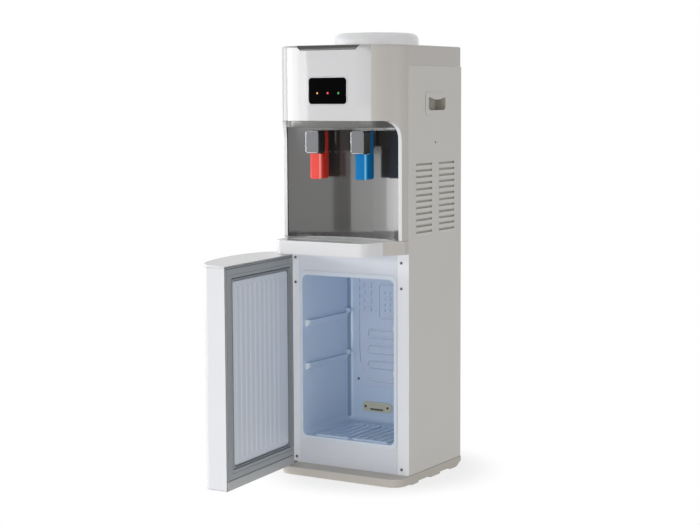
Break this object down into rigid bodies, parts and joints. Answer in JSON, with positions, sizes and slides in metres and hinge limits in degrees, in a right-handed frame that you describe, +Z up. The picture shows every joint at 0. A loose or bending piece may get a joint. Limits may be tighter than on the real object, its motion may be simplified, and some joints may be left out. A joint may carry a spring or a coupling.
{
  "type": "floor water cooler",
  "caption": "Free-standing water cooler with a top bottle seat, two lever taps over a drip tray and a small cooled cupboard with a hinged door.",
  "frame": {"origin": "on the floor, under the middle of the cabinet", "axes": "+Z up, -Y the front with the taps and door, +X the right-hand side seen from the front"},
  "size_m": [0.3443, 0.5769, 0.984],
  "materials": {
    "base_grey": "fine matt",
    "painted_steel": "satin enamel",
    "white": "gloss",
    "trim_grey": "gloss",
    "black": "gloss",
    "frosted": "translucent satin",
    "board": "solder mask",
    "alcove_grey": "high gloss",
    "chrome": "bright plated",
    "hot_red": "gloss",
    "cold_blue": "gloss",
    "steel": "plain",
    "liner_blue": "satin, pale blue",
    "foam": "cut foam",
    "clip_beige": "satin",
    "door_white": "gloss",
    "seal": "matt",
    "dark_steel": "black enamel",
    "hose": "clear silicone"
  },
  "bodies": {
    "cabinet": {"base": "base_grey", "side_panel_left": "painted_steel", "side_panel_right": "painted_steel", "rear_panel": "painted_steel", "front_frame": "white", "head_fascia": "white", "top_trim": "trim_grey", "display_lens": "black", "indicator_block": "frosted", "control_board": "board", "alcove_liner": "alcove_grey", "tap_panel": "trim_grey", "drip_shelf": "white", "hot_tap_body": "black", "hot_tap_cap": "black", "hot_tap_face": "chrome", "hot_tap_pin": "steel", "cold_tap_body": "black", "cold_tap_cap": "black", "cold_tap_face": "chrome", "cold_tap_pin": "steel", "fridge_liner": "liner_blue", "fridge_foam": "foam", "evaporator_plate": "liner_blue", "thermostat_clip": "clip_beige", "hinge_top": "steel", "hinge_bottom": "steel", "top_cover": "white", "bottle_collar": "frosted", "bottle_probe": "white", "cold_tank": "steel", "hot_tank": "steel", "compressor": "dark_steel", "machine_shelf": "steel", "condenser": "dark_steel", "handle_cup_left": "white", "handle_cup_right": "white", "power_inlet": "black", "hose_cold": "hose", "hose_hot": "hose", "hose_feed": "hose", "hose_drain": "hose", "frame_screw_1": "steel", "frame_screw_2": "steel", "frame_screw_3": "steel", "frame_screw_4": "steel", "frame_screw_5": "steel", "frame_screw_6": "steel"},
    "door": {"door_shell": "door_white", "door_top_cap": "door_white", "door_bottom_cap": "door_white", "door_liner": "door_white", "door_gasket": "seal"},
    "hot_lever": {"hot_tap_lever": "hot_red"},
    "cold_lever": {"cold_tap_lever": "cold_blue"},
    "drip_cup": {"drip_cup": "white"},
    "drip_grille": {"drip_grille": "frosted"},
    "hot_switch": {"hot_switch": "black"},
    "cold_switch": {"cold_switch": "black"},
    "drain_cap": {"drain_cap": "white"}
  },
  "joints": [
    {"name": "door_hinge", "type": "hinge", "parent": "cabinet", "child": "door", "pos_m": [-0.149, -0.1532, 0.25], "axis": [0, 0, 1], "range_deg": [-35.3, 84.7]},
    {"name": "hot_lever_pivot", "type": "hinge", "parent": "cabinet", "child": "hot_lever", "pos_m": [-0.0575, -0.137, 0.7655], "axis": [1, 0, 0], "range_deg": [0, 8], "stiffness_Nm_per_rad": 0.5, "springref_deg": -5.73},
    {"name": "cold_lever_pivot", "type": "hinge", "parent": "cabinet", "child": "cold_lever", "pos_m": [0.0575, -0.137, 0.7655], "axis": [1, 0, 0], "range_deg": [0, 8], "stiffness_Nm_per_rad": 0.5, "springref_deg": -5.73},
    {"name": "drip_cup_lift", "type": "slide", "parent": "cabinet", "child": "drip_cup", "axis": [0, 0, 1], "range_m": [0, 0.05]},
    {"name": "drip_grille_lift", "type": "slide", "parent": "drip_cup", "child": "drip_grille", "axis": [0, 0, 1], "range_m": [0, 0.03]},
    {"name": "hot_switch_rock", "type": "hinge", "parent": "cabinet", "child": "hot_switch", "pos_m": [-0.095, 0.103, 0.86], "axis": [-1, 0, 0], "range_deg": [0, 14]},
    {"name": "cold_switch_rock", "type": "hinge", "parent": "cabinet", "child": "cold_switch", "pos_m": [-0.065, 0.103, 0.86], "axis": [-1, 0, 0], "range_deg": [0, 14]},
    {"name": "drain_cap_turn", "type": "hinge", "parent": "cabinet", "child": "drain_cap", "pos_m": [0.095, 0.1038, 0.535], "axis": [0, 1, 0], "range_deg": [0, 720]}
  ]
}
